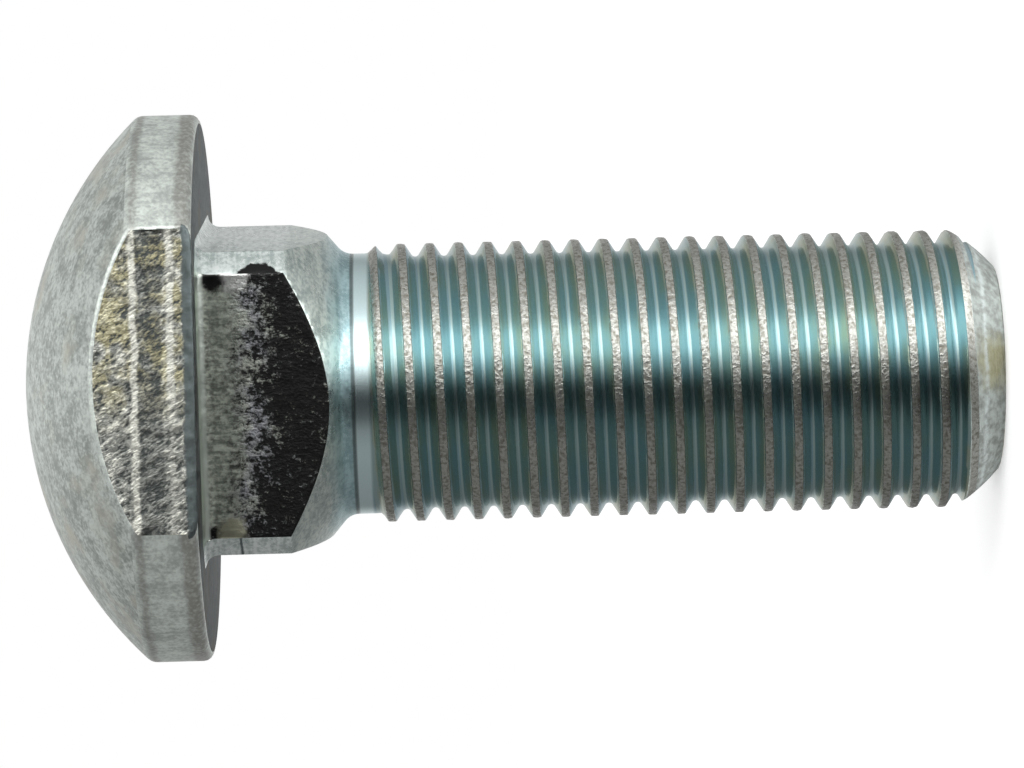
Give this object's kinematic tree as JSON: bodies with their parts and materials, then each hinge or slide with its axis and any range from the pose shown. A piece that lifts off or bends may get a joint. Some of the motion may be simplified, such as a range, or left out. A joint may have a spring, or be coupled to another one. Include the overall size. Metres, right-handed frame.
{
  "type": "wheel bolt",
  "caption": "Wheel bolt with a low domed head cut flat on one side, a square neck with a conical shoulder, and a coarse-threaded shank with a chamfered end.",
  "frame": {"origin": "centre of the flat face at the threaded end, on which the bolt stands", "axes": "+Z along the bolt's axis from the threaded end to the head; -Y out of the neck's front flat, which is the one nearest the head's flat; +X to the right of it"},
  "size_m": [0.0436, 0.0418, 0.0773],
  "materials": {
    "zinc_plated_steel": "bright zinc plate with a clear blue-green passivate, glossy on the rolled thread, matt and mottled on the forged head, dark and scuffed on the neck's flats"
  },
  "bodies": {
    "root": {"wheel_bolt": "zinc_plated_steel"}
  },
  "joints": []
}
